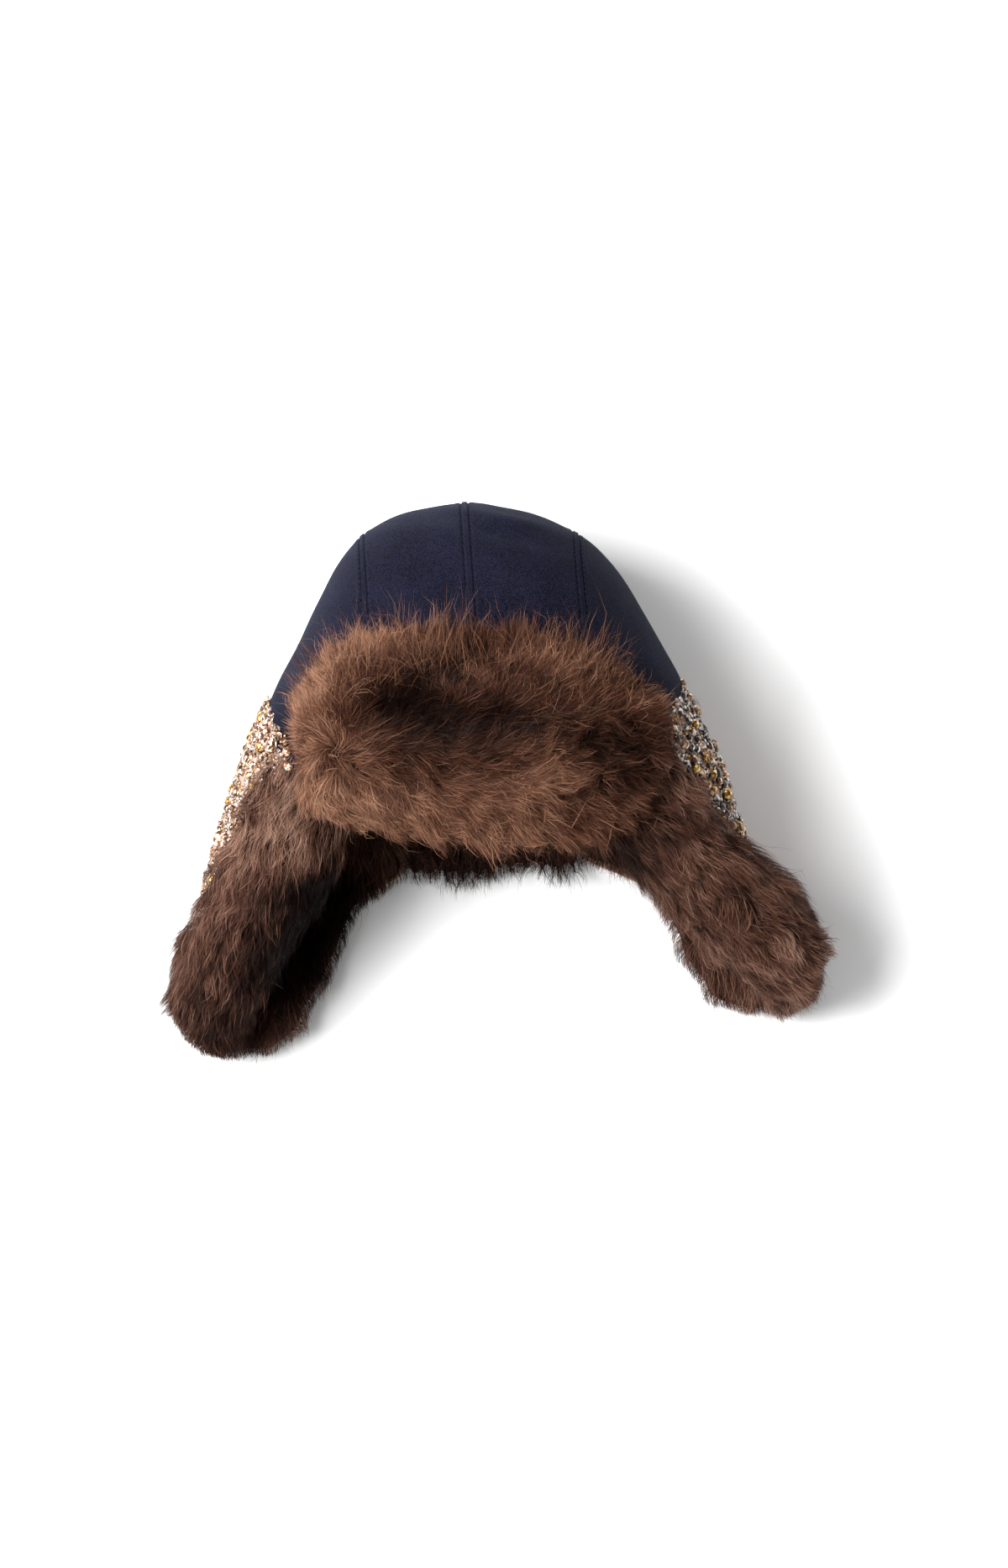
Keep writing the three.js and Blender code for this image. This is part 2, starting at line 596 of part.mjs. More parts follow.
// The origin is under the middle of the hat, on the surface that it lies on.
const extent = new THREE.Box3().setFromObject(hat);
const middle = extent.getCenter(new THREE.Vector3());
hat.position.set(-middle.x, -middle.y, -extent.min.z);

export default hat;
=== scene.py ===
import math

import bpy
import numpy as np
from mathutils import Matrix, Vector
from mathutils.bvhtree import BVHTree
from mathutils.kdtree import KDTree


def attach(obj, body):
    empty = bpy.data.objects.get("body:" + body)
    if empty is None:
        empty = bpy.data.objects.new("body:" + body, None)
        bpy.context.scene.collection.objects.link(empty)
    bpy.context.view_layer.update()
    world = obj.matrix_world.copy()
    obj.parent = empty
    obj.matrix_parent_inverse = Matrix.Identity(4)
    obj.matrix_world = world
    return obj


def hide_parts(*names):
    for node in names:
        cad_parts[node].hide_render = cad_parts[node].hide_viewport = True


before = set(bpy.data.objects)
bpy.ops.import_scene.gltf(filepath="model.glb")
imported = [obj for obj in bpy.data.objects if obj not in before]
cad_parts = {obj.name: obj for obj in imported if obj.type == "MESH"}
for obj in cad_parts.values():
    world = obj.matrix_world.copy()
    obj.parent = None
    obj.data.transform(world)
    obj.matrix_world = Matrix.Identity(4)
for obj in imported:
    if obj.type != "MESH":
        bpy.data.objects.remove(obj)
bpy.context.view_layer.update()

MM = 0.001

# The view: straight down on the hat's front from 2.5 m, turned a little, over a pale floor. The light is a
# large soft one from the upper left, a weak one from beyond the crown, and the room's own.
TURN_IN_VIEW = math.radians(4.5)
camera = bpy.data.objects.new("camera", bpy.data.cameras.new("camera"))
camera.data.sensor_width = 36
camera.data.lens = 101.5
camera.location = (0.0095, -0.0081, 2.5)
camera.rotation_euler = (0, 0, -TURN_IN_VIEW)
bpy.context.collection.objects.link(camera)
bpy.context.scene.camera = camera
bpy.context.scene.view_settings.view_transform = "Standard"

room = bpy.data.worlds.new("room")
room.use_nodes = True
room.node_tree.nodes["Background"].inputs["Color"].default_value = (1, 1, 1, 1)
room.node_tree.nodes["Background"].inputs["Strength"].default_value = 0.5
bpy.context.scene.world = room

for name, place, size, watts in (("key", (-1.2, 0.3, 1.7), 1.2, 104), ("top", (0.1, 1.9, 1.1), 0.8, 8)):
    light = bpy.data.lights.new(name, "AREA")
    light.size = size
    light.energy = watts
    lamp = bpy.data.objects.new(name, light)
    lamp.location = place
    lamp.rotation_euler = (-Vector(place)).to_track_quat("-Z", "Y").to_euler()
    bpy.context.collection.objects.link(lamp)

bpy.ops.object.select_all(action="DESELECT")
bpy.ops.mesh.primitive_plane_add(size=8, location=(0, 0, -0.0002))
floor = bpy.context.object
floor.name = "floor"
paper = bpy.data.materials.new("pale_floor")
paper.use_nodes = True
paper.node_tree.nodes["Principled BSDF"].inputs["Base Color"].default_value = (0.9, 0.9, 0.9, 1)
paper.node_tree.nodes["Principled BSDF"].inputs["Roughness"].default_value = 0.8
floor.data.materials.append(paper)


# The crown: felted wool in four panels, joined by raised topstitched seams that run from the front over the
# top to the back. It is a formed shell with a rolled lower edge that steps up over each ear flap.
class Socket:
    """An output of a material's nodes. Arithmetic on it adds Math nodes, and node() adds any other."""

    def __init__(self, tree, output=None):
        self.tree, self.output = tree, output

    def node(self, kind, settings=None, inputs=None, out=0):
        made = self.tree.nodes.new(kind)
        for name, value in (settings or {}).items():
            if name == "stops":
                while len(made.color_ramp.elements) < len(value):
                    made.color_ramp.elements.new(0.5)
                for stop, (place, colour) in zip(made.color_ramp.elements, value):
                    stop.position, stop.color = place, (*colour, 1)
            else:
                setattr(made, name, value)
        for name, value in (inputs or {}).items():
            if isinstance(value, Socket):
                self.tree.links.new(value.output, made.inputs[name])
            else:
                made.inputs[name].default_value = value
        return Socket(self.tree, made.outputs[out])

    def maths(self, operation, first, second):
        return self.node("ShaderNodeMath", {"operation": operation}, {0: first, 1: second})

    def __add__(self, other):
        return self.maths("ADD", self, other)

    def __sub__(self, other):
        return self.maths("SUBTRACT", self, other)

    def __rsub__(self, other):
        return self.maths("SUBTRACT", other, self)

    def __mul__(self, other):
        return self.maths("MULTIPLY", self, other)

    def __pow__(self, other):
        return self.maths("POWER", self, other)

    __radd__, __rmul__ = __add__, __mul__

    def mixed(self, first, second):
        """The colour between two colours, at this share."""
        first, second = (c if isinstance(c, Socket) else (*c, 1) for c in (first, second))
        return self.node("ShaderNodeMix", {"data_type": "RGBA"}, {0: self, 6: first, 7: second}, 2)

    def noise(self, scale, **more):
        """A noise on these coordinates, as a number from 0 to 1."""
        return self.node("ShaderNodeTexNoise", None, {"Vector": self, "Scale": scale, **more}, "Fac")


def new_finish(name, **constants):
    """A material, and the Object coordinates in its nodes. Constants go on the shader's own sockets."""
    material = bpy.data.materials.new(name)
    material.use_nodes = True
    shader = material.node_tree.nodes["Principled BSDF"]
    for key, value in constants.items():
        shader.inputs[key.replace("_", " ")].default_value = value
    return material, Socket(material.node_tree)


def feed(material, name, socket):
    """Leads a socket to the shader's input of that name."""
    shader = material.node_tree.nodes["Principled BSDF"]
    material.node_tree.links.new(socket.output, shader.inputs[name])


def feed_bump(material, height, strength, distance):
    """Leads a height to the shader's normal, through a bump of that distance in metres."""
    settings = {"Strength": strength, "Distance": distance, "Height": height}
    feed(material, "Normal", height.node("ShaderNodeBump", None, settings))


wool, nodes = new_finish("navy_wool", Roughness=0.9, Specular_IOR_Level=0.08, Sheen_Weight=0.04,
                         Sheen_Roughness=0.4, Sheen_Tint=(0.5, 0.6, 1, 1))
place = nodes.node("ShaderNodeTexCoord", out="Object")
cloud = place.noise(45.0, Detail=3.0)
nap = place.noise(1300.0, Detail=2.0, Roughness=0.7)
fleck = place.noise(2600.0, Detail=1.0)
share = (cloud - 0.5) * 0.8 + (nap - 0.5) * 3.4 + (fleck - 0.5) * 2.0 + 0.42
feed(wool, "Base Color", share.mixed((0.0004, 0.0005, 0.0022), (0.0112, 0.0118, 0.0285)))
feed_bump(wool, nap + 0.5 * fleck, 0.7, 0.0006)

CLOTH = 2.2
SEAMS = (-57, 0, 59)
# how far the seams' stitches and grooves stand from their middle
GROOVE = 2.1
# the cuts on each side of a seam that give the mesh its points there
SEAM_CUTS = (0.4, 0.9, 1.3, 1.7, GROOVE, 2.6, 3.3, 4.4, 6)
TOP, FOOT = 148.2, -28
SQUARENESS = 2.3
# y, reach to the left, reach to the right, height of the section's middle, half its depth
CROWN_WALL = np.array([
    (TOP, 0.05, 0.05, 80, 0.05),
    (147, 12, 8, 80, 12),
    (143.5, 33, 19.5, 79, 30),
    (138, 47.5, 36, 78, 43),
    (131, 60, 50, 77, 54),
    (118, 72.5, 69, 76, 66),
    (100, 83, 83.5, 75, 75),
    (80, 95, 94, 75, 80),
    (60, 108.5, 103, 75, 81),
    (43, 117, 110, 75, 81),
    (24, 127, 115.5, 73, 79),
    (0, 134, 121, 70, 75),
    (FOOT, 137, 124, 66, 71),
])
# z, y of the lower edge there
HEM = np.array([
    (-30, 35), (25, 37), (60, 42), (80, 45), (96, 40), (108, 34), (118, 24), (123, -6), (126, -24),
    (260, -24),
])


def wall_column(rows, column, y):
    """One column of a table at heights between its rows, on a smooth curve that never passes their values."""
    at, value = rows[::-1, 0], rows[::-1, column]
    rate = np.diff(value) / np.diff(at)
    before, after = np.append(rate[0], rate), np.append(rate, rate[-1])
    both = np.where(before * after > 0, before + after, 1)
    slope = np.where(before * after > 0, 2 * before * after / both, 0)
    i = np.clip(np.searchsorted(at, y) - 1, 0, len(at) - 2)
    length = at[i + 1] - at[i]
    t = np.clip((y - at[i]) / length, 0, 1)
    step = value[i + 1] - value[i]
    bend = (slope[i] * length - step) * (1 - t) - (slope[i + 1] * length - step) * t
    return value[i] + step * t + t * (1 - t) * bend


def crown_point(turn, y):
    """Points of the crown's outer face, at angles round it from the right side, and at heights."""
    across, up = np.cos(turn), np.sin(turn)
    left, right, middle, depth = (wall_column(CROWN_WALL, column, y) for column in (1, 2, 3, 4))
    x = np.where(across < 0, left, right) * np.sign(across) * np.abs(across) ** (2 / SQUARENESS)
    z = middle + depth * np.sign(up) * np.abs(up) ** (2 / SQUARENESS)
    return np.stack([x, y + 0 * x, np.maximum(z, 0)], -1)


def hump(distance, reach, power=2):
    """1 where the distance is 0, and less and less towards the reach and past it."""
    return np.exp(-((distance / reach) ** power))


def points_of(mesh):
    """A mesh's vertices in millimetres."""
    flat = np.empty(len(mesh.vertices) * 3)
    mesh.vertices.foreach_get("co", flat)
    return flat.reshape(-1, 3) / MM


def move_points(mesh, points):
    mesh.vertices.foreach_set("co", (points * MM).ravel())
    mesh.update()


def normals_of(mesh):
    flat = np.empty(len(mesh.vertices) * 3)
    mesh.vertex_normals.foreach_get("vector", flat)
    return flat.reshape(-1, 3)


def select_only(piece):
    bpy.ops.object.select_all(action="DESELECT")
    piece.select_set(True)
    bpy.context.view_layer.objects.active = piece


def apply_modifier(piece, kind, **settings):
    select_only(piece)
    modifier = piece.modifiers.new(kind, kind)
    for name, value in settings.items():
        setattr(modifier, name, value)
    bpy.ops.object.modifier_apply(modifier=modifier.name)


def finish_piece(piece, material, slot, *nodes):
    """Gives a piece its finish and its body, and hides the CAD nodes that it stands for. Its slot is not
    used.
    """
    piece.data.materials.clear()
    piece.data.materials.append(material)
    piece.data.polygons.foreach_set("use_smooth", [True] * len(piece.data.polygons))
    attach(piece, "root")
    if nodes:
        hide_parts(*nodes)


bpy.ops.object.select_all(action="DESELECT")
bpy.ops.mesh.primitive_grid_add(x_subdivisions=260, y_subdivisions=84, size=1)
crown = bpy.context.object
crown.name = crown.data.name = "wool_crown"
grid = points_of(crown.data) * MM + 0.5
turn = 2 * math.pi * grid[:, 0]
# each column of the grid ends where its line down the wall first reaches the hem
heights = TOP - (TOP - FOOT) * np.linspace(0, 1, 400)[:, None]
tries = crown_point(turn[None, :], heights)
hem_here = np.interp(tries[..., 2], HEM[:, 0], HEM[:, 1]) - 0.035 * tries[..., 0]
past_hem = tries[..., 1] <= hem_here
low = np.where(past_hem.any(axis=0), heights[np.argmax(past_hem, axis=0), 0], FOOT)
move_points(crown.data, crown_point(turn, TOP - (TOP - low) * grid[:, 1] ** 1.5))
bpy.ops.object.mode_set(mode="EDIT")
bpy.ops.mesh.select_all(action="SELECT")
bpy.ops.mesh.remove_doubles(threshold=0.00005)
for seam in SEAMS:
    for step in sorted({0, *SEAM_CUTS, *(-cut for cut in SEAM_CUTS)}):
        bpy.ops.mesh.select_all(action="SELECT")
        bpy.ops.mesh.bisect(plane_co=((seam + step) * MM, 0, 0), plane_no=(1, 0, 0))
bpy.ops.mesh.select_all(action="SELECT")
bpy.ops.mesh.normals_make_consistent(inside=False)
bpy.ops.object.mode_set(mode="OBJECT")
points, normals = points_of(crown.data), normals_of(crown.data)
if (normals * (points - (0, 40, 75))).sum() < 0:
    crown.data.flip_normals()
    normals = -normals
x, y, z = points.T
rise = np.sin(x / 17 + y / 31) * np.sin(y / 23 + 1.2)
for seam in SEAMS:
    off = np.abs(x - seam) / np.sqrt(np.maximum(1 - normals[:, 0] ** 2, 0.12))
    rise += 0.6 * hump(off, 1.6, 4) - 0.2 * hump(off, 0.4)
    rise += 0.3 * hump(off - 3.8, 1.3) - 0.8 * hump(off - GROOVE, 0.5)
# the fold that runs from the top of the middle seam down to the right
fold = 145.5 - 0.33 * (x + 13) - y
rise += hump(x - 24, 26) * (z > 75) * 1.7 * (hump(fold, 3.2) - hump(fold - 9, 5))
points += normals * rise[:, None]
points[:, 2] = np.maximum(points[:, 2], 0.1)
move_points(crown.data, points)
apply_modifier(crown, "SOLIDIFY", thickness=CLOTH * MM, offset=-1, use_even_offset=False)
finish_piece(crown, wool, "wool", "crown_side_left", "crown_center_left", "crown_center_right",
             "crown_side_right")


# The seams' stitching: thick navy thread, a row on each side of every seam, over the top of the crown and
# down its back.
def tree_of(piece):
    """A search tree of a piece's faces, in millimetres."""
    faces = [face.vertices for face in piece.data.polygons]
    return BVHTree.FromPolygons(points_of(piece.data).tolist(), faces)


def copies_of(master, places):
    """Vertices, corners, face sizes of a master mesh copied to each 4x4 place, in millimetres."""
    points = points_of(master)
    corners = np.empty(len(master.loops), int)
    master.loops.foreach_get("vertex_index", corners)
    sizes = np.empty(len(master.polygons), int)
    master.polygons.foreach_get("loop_total", sizes)
    places = np.asarray(places)
    moved = np.einsum("nij,vj->nvi", places[:, :3, :3], points) + places[:, None, :3, 3]
    shifted = corners[None] + len(points) * np.arange(len(places))[:, None]
    return moved.reshape(-1, 3), shifted.ravel(), np.tile(sizes, len(places))


def joined_mesh(name, groups, materials):
    """One piece from groups of (vertices, corners, face sizes), each with the material in its place."""
    points = np.concatenate([group[0] for group in groups])
    before = np.cumsum([0] + [len(group[0]) for group in groups])
    corners = np.concatenate([group[1] + start for group, start in zip(groups, before)])
    sizes = np.concatenate([group[2] for group in groups])
    look = np.concatenate([np.full(len(group[2]), i) for i, group in enumerate(groups)])
    mesh = bpy.data.meshes.new(name)
    mesh.vertices.add(len(points))
    mesh.vertices.foreach_set("co", (points * MM).ravel())
    mesh.loops.add(len(corners))
    mesh.loops.foreach_set("vertex_index", corners)
    mesh.polygons.add(len(sizes))
    mesh.polygons.foreach_set("loop_start", np.concatenate([[0], np.cumsum(sizes)[:-1]]))
    mesh.polygons.foreach_set("material_index", look)
    mesh.update(calc_edges=True)
    for material in materials:
        mesh.materials.append(material)
    piece = bpy.data.objects.new(name, mesh)
    bpy.context.collection.objects.link(piece)
    return piece


def turned_place(at, along, up, size=(1, 1, 1)):
    """A 4x4 place whose x axis runs along, and whose z axis is up."""
    along = np.asarray(along) - np.dot(along, up) * np.asarray(up)
    along = along / max(np.linalg.norm(along), 1e-9)
    place = np.eye(4)
    place[:3, :3] = np.stack([along, np.cross(up, along), up], 1) * np.asarray(size)
    place[:3, 3] = at
    return place


def take_master(make):
    """The mesh that a primitive's operator makes, without its object."""
    bpy.ops.object.select_all(action="DESELECT")
    make()
    piece = bpy.context.object
    mesh = piece.data
    bpy.data.objects.remove(piece)
    return mesh


# half its length, half its width, half its height
STITCH = (1.35, 0.3, 0.3)
STITCH_STEP = 3.5
# the turns at which a row is looked for, from the front over the top to the back
ROW_TURNS = np.radians(np.arange(75, -80, -0.25))

crown_tree = tree_of(crown)
stitch = take_master(lambda: bpy.ops.mesh.primitive_uv_sphere_add(segments=6, ring_count=4, radius=MM))
places = []
for seam in SEAMS:
    for offset in (-GROOVE, GROOVE):
        line = []
        for angle in ROW_TURNS:
            way = Vector((0, math.cos(angle), math.sin(angle)))
            start = Vector((seam + offset, 55, 78)) + 300 * way
            hit, normal, _, _ = crown_tree.ray_cast(start, -way)
            if hit is not None and (not line or (hit - line[-1][0]).length < 4):
                line.append((hit, normal))
        path = np.array([point for point, _ in line])
        ups = np.array([up for _, up in line])
        run = np.concatenate([[0], np.cumsum(np.linalg.norm(np.diff(path, axis=0), axis=1))])
        for at in np.arange(2, run[-1] - 2, STITCH_STEP):
            i = int(np.searchsorted(run, at))
            places.append(turned_place(path[i] + 0.05 * ups[i], path[i] - path[i - 1], ups[i], STITCH))
thread, _ = new_finish("navy_thread", Base_Color=(0.010, 0.011, 0.020, 1), Roughness=0.6,
                       Specular_IOR_Level=0.1)
stitching = joined_mesh("seam_stitching", [copies_of(stitch, places)], [thread])
finish_piece(stitching, thread, "wool")


# The turned-up front: the same wool, folded up from the crown's lower edge. Only its rim shows past the fur,
# so it keeps the form of its CAD node.
def smooth_copy(name, node, voxel, rounds):
    """A new piece in the form of a CAD node, with its facets smoothed away."""
    piece = bpy.data.objects.new(name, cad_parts[node].data.copy())
    piece.data.name = name
    bpy.context.collection.objects.link(piece)
    apply_modifier(piece, "WELD", merge_threshold=0.00002)
    apply_modifier(piece, "REMESH", mode="VOXEL", voxel_size=voxel * MM)
    apply_modifier(piece, "SMOOTH", factor=0.5, iterations=rounds)
    return piece


brim_wool = smooth_copy("turned_up_wool", "brim_cloth", 1.0, 4)
finish_piece(brim_wool, wool, "wool", "brim_cloth")


# The brim's fur: the thickest of the hat, shearling with dense brown hair on a dark skin. Its upper half is
# combed up over the wool, its lower half down and to the right, with hollows between them, sunk into the skin
# and their hair painted darker as shade.
hide, nodes = new_finish("fur_underlayer", Roughness=0.95, Specular_IOR_Level=0.1)
mottle = nodes.node("ShaderNodeTexCoord", out="Object").noise(220.0, Detail=3.0)
feed(hide, "Base Color", mottle.mixed((0.003, 0.0014, 0.001), (0.018, 0.008, 0.005)))
feed_bump(hide, mottle, 0.6, 0.002)

ROOTS = [(0, (0.003, 0.0012, 0.0008)), (0.5, (0.018, 0.007, 0.0038)), (1, (0.075, 0.031, 0.017))]


def hair_finish(name, tips):
    """Hair of a tone given across the strand's UV map, in a ramp's colours, and darker at its root."""
    finish, nodes = new_finish(name, Roughness=0.45, Specular_IOR_Level=0.05)
    chart = nodes.node("ShaderNodeUVMap", {"uv_map": "OFBake"})
    along = nodes.node("ShaderNodeSeparateXYZ", None, {0: chart}, "X")
    tone = nodes.node("ShaderNodeSeparateXYZ", None, {0: chart}, "Y")
    tip, base = (tone.node("ShaderNodeValToRGB", {"stops": ramp}, {"Fac": tone}, "Color")
                 for ramp in (tips, ROOTS))
    feed(finish, "Base Color", (along ** 0.8).mixed(base, tip))
    return finish


tan_hair = hair_finish("shearling_tan", [
    (0, (0.0022, 0.0009, 0.0007)), (0.3, (0.033, 0.0120, 0.0070)), (0.6, (0.142, 0.056, 0.033)),
    (1, (0.49, 0.265, 0.163))])
brown_hair = hair_finish("shearling_brown", [
    (0, (0.0022, 0.0010, 0.0008)), (0.3, (0.034, 0.0140, 0.0096)), (0.6, (0.150, 0.065, 0.043)),
    (1, (0.48, 0.29, 0.21))])


def near(points, x, y, reach):
    """How near points are to a place as seen from above: 1 there, and 0 well past its reach."""
    return np.exp(-((points[:, 0] - x) ** 2 + (points[:, 1] - y) ** 2) / (2 * reach**2))


# how far the skin sinks where the hair is darker by a tone of 1
HOLLOW_DEPTH = 17


def fur_skin(name, node, slot, inset, hollows=(), pushes=()):
    """The dark skin under a CAD node's fur: its form without the locks, drawn in, sunk at hollows (x, y, by
    how much, reach) and pushed at some places (x, y, how far in x, how far in y, reach)."""
    skin = smooth_copy(name, node, 2.4, 14)
    points, normals = points_of(skin.data), normals_of(skin.data)
    still = points.copy()
    for x, y, right, up, reach in pushes:
        points[:, :2] += near(still, x, y, reach)[:, None] * (right, up)
    depth = np.full(len(points), -float(inset))
    for x, y, more, reach in hollows:
        depth = depth + HOLLOW_DEPTH * more * near(points, x, y, reach) * (normals[:, 2] > 0)
    points = points + normals * depth[:, None]
    points[:, 2] = np.maximum(points[:, 2], 0.2)
    move_points(skin.data, points)
    finish_piece(skin, hide, slot, node)
    return skin


def unit(vectors):
    return vectors / np.maximum(np.linalg.norm(vectors, axis=-1, keepdims=True), 1e-9)


def triangles_of(mesh):
    """A mesh's triangles, as rows of three vertices, and twice the area of each."""
    mesh.calc_loop_triangles()
    corners = np.empty(len(mesh.loop_triangles) * 3, int)
    mesh.loop_triangles.foreach_get("vertices", corners)
    corners = corners.reshape(-1, 3)
    a, b, c = (points_of(mesh)[corners[:, k]] for k in range(3))
    return corners, np.linalg.norm(np.cross(b - a, c - a), axis=1)


def scattered(mesh, corners, room, count, rng):
    """Random places on a mesh's triangles, more where there is more room, and the triangle of each."""
    picked = rng.choice(len(corners), size=count, p=room / room.sum())
    u, v = rng.random((2, count, 1))
    u, v = np.where(u + v > 1, 1 - u, u), np.where(u + v > 1, 1 - v, v)
    a, b, c = (points_of(mesh)[corners[picked, k]] for k in range(3))
    return a + u * (b - a) + v * (c - a), picked


def hair_roots(skin, area, count, behind, rng):
    """The hairs' roots on a skin inside an area, and the way out of the skin there. There is none where a
    piece in behind is close in front of the skin."""
    corners, room = triangles_of(skin.data)
    middle = points_of(skin.data)[corners].sum(1) / 3
    facing = normals_of(skin.data)[corners].sum(1) / 3
    lowest_x, highest_x, lowest_y, highest_y = area
    x, y, z = middle.T
    room[(x < lowest_x) | (x > highest_x) | (y < lowest_y) | (y > highest_y)] = 0
    room[(facing[:, 2] < -0.35) & (z < 7)] = 0
    root, picked = scattered(skin.data, corners, room, 2 * count, rng)
    up = unit(facing[picked])
    bare = np.zeros(len(root), bool)
    for piece in behind:
        close = tree_of(piece)
        for i in np.flatnonzero(~bare):
            bare[i] = close.ray_cast(root[i].tolist(), up[i].tolist(), 7)[0] is not None
    return root[~bare][:count], up[~bare][:count]


def grouped(root, every, rng):
    """The hairs that lead the others, one in so many, and each hair's nearest leader in that list."""
    leaders = rng.choice(len(root), size=max(len(root) // every, 1), replace=False)
    finder = KDTree(len(leaders))
    for i, leader in enumerate(leaders):
        finder.insert(root[leader].tolist(), i)
    finder.balance()
    return leaders, np.array([finder.find(point)[1] for point in root.tolist()])


def strands(name, path, ups, wide, shade, finish):
    """One mesh of flat pointed hairs along paths of four points. Their UV map holds how far from the root a
    point is, and the hair's tone."""
    count = len(path)
    run = unit(np.stack([path[:, 1] - path[:, 0], path[:, 2] - path[:, 0], path[:, 3] - path[:, 1]], 1))
    aside = unit(np.cross(run, np.stack(ups, 1)))
    twist = wide[1]
    aside = aside * np.cos(twist) + np.cross(run, aside) * np.sin(twist)
    sheet = np.empty((count, 7, 3))
    sheet[:, 0:6:2] = path[:, :3] - aside * wide[0]
    sheet[:, 1:6:2] = path[:, :3] + aside * wide[0]
    sheet[:, 6] = path[:, 3]
    corner = np.array([0, 1, 3, 2, 2, 3, 5, 4, 4, 5, 6])
    corners = (corner[None] + 7 * np.arange(count)[:, None]).ravel()
    piece = joined_mesh(name, [(sheet.reshape(-1, 3), corners, np.tile([4, 4, 3], count))], [finish])
    chart = piece.data.uv_layers.new(name="OFBake")
    along = np.array([0.02, 0.02, 0.34, 0.34, 0.67, 0.67, 0.98])[corner]
    spots = np.stack([np.tile(along, count), np.repeat(np.clip(shade, 0.02, 0.98), len(corner))], 1)
    chart.data.foreach_set("uv", spots.ravel())
    return piece


LEVELS = (np.array([0, 1, 2, 3]) / 3)[None, :, None]
# the share of hairs that are guard hairs: longer, and painted lighter as their highlights
GUARD_SHARE = 0.05


def lay_fur(name, skin, seed, count, length, combs, tones_and_shade, tone, area, finish=brown_hair, lift=(50, 24, 6),
            width=0.22, stand=0.36, curl=1.0, clumping=1.0, trim=0.6, behind=(), slot="flap_fur"):
    """Hair rooted on a skin, inside an area (lowest and highest x, lowest and highest y). combs says which
    way it lies near a place (x, y, z, its direction, reach), the tones how much lighter or darker it is there
    (x, y, by how much, reach), partly its own patches and partly painted shade where it lies in shadow. It
    lies in tufts of about 150 hairs and clumps of about 16. Some are longer guard hairs, painted lighter as
    highlights."""
    rng = np.random.default_rng(seed)
    tree = BVHTree.FromPolygons(points_of(skin.data).tolist(), triangles_of(skin.data)[0].tolist())
    root, up = hair_roots(skin, area, count, behind, rng)
    count = len(root)
    tufts, tuft = grouped(root, 150, rng)
    clumps, clump = grouped(root, 16, rng)
    combs = np.array(combs, float)

    def varied(by_tuft, by_clump, by_hair):
        """Random numbers that a tuft's hairs share, plus some that a clump's share, plus each hair's own."""
        shared = 0
        for much, leaders, group in ((by_tuft, tufts, tuft), (by_clump, clumps, clump)):
            if much:
                shared = shared + much * rng.standard_normal(len(leaders))[group]
        return shared + by_hair * rng.standard_normal(count)

    def combed(at):
        away = ((at[:, None] - combs[None, :, :3]) ** 2).sum(2) / combs[None, :, 6] ** 2
        return unit((1 / (0.15 + away) ** 2) @ unit(combs[:, 3:6]))

    stray = np.radians(curl * varied(13, 9, 10))[:, None]
    long = length * np.exp(varied(0.06, 0.08, 0.2))
    guard = rng.random(count) < GUARD_SHARE
    cut = trim * np.maximum((combed(root) * up).sum(1), 0)
    long = np.where(guard, 1.2 * long * (1 - 0.5 * cut), long * (1 - cut))[:, None]
    lean = np.radians(varied(6, 0, 6))[:, None]
    bend = np.radians(curl * varied(0, 6, 9))[:, None]
    path, ups = [root - 0.6 * up], [up]
    for k in range(3):
        here, out = path[-1], ups[-1]
        way = combed(here)
        way = unit(way - out * np.minimum((way * out).sum(1, keepdims=True), 0))
        aside = stray + k * bend
        way = way * np.cos(aside) + np.cross(out, way) * np.sin(aside)
        angle = math.radians(lift[k]) + lean
        here = here + long / 3 * unit(way * np.cos(angle) + out * np.sin(angle))
        found = [tree.find_nearest(point) for point in here.tolist()]
        foot = np.array([hit[0] for hit in found])
        out = np.array([hit[1] for hit in found])
        high = ((here - foot) * out).sum(1, keepdims=True)
        least, most = 0.8 + 0.3 * k, stand * long * (0.6, 0.85, 1)[k]
        here = here + out * (np.maximum(least - high, 0) - 0.7 * np.maximum(high - most, 0))
        here[:, 2] = np.maximum(here[:, 2], 0.5)
        path.append(here)
        ups.append(unit(0.5 * out + 0.5 * ups[-1]))
    path = np.stack(path, 1)
    loose = np.where(guard, 0.25, 1)[:, None, None]
    for leaders, group, draw, narrowing in ((clumps, clump, 0.3 * loose, 0.75), (tufts, tuft, 0.1, 0.3)):
        own = (root - root[leaders][group])[:, None] * (1 - narrowing * LEVELS)
        pull = clumping * draw * LEVELS ** 1.3
        path = path * (1 - pull) + (path[leaders][group] + own) * pull
    path[..., 2] = np.maximum(path[..., 2], 0.5)

    twist = np.radians(32 * rng.standard_normal((count, 1, 1)))
    wide = width * np.exp(0.2 * rng.standard_normal((count, 1))) * np.array([[0.9, 1.0, 0.75]]) / 2
    wide = np.where(guard[:, None], 0.65 * wide, wide)[..., None]
    # guard hairs get a painted highlight: 0.32 lighter in tone
    shade = tone + varied(0.06, 0.08, 0.10) + np.where(guard, 0.32, 0)
    # where these tones darken the hair, that is partly painted shade in hollows and shadowed insides
    for x, y, more, reach in tones_and_shade:
        shade = shade + more * near(root, x, y, reach)
    piece = strands(name, path, ups[:3], (wide, twist), shade, finish)
    finish_piece(piece, finish, slot)


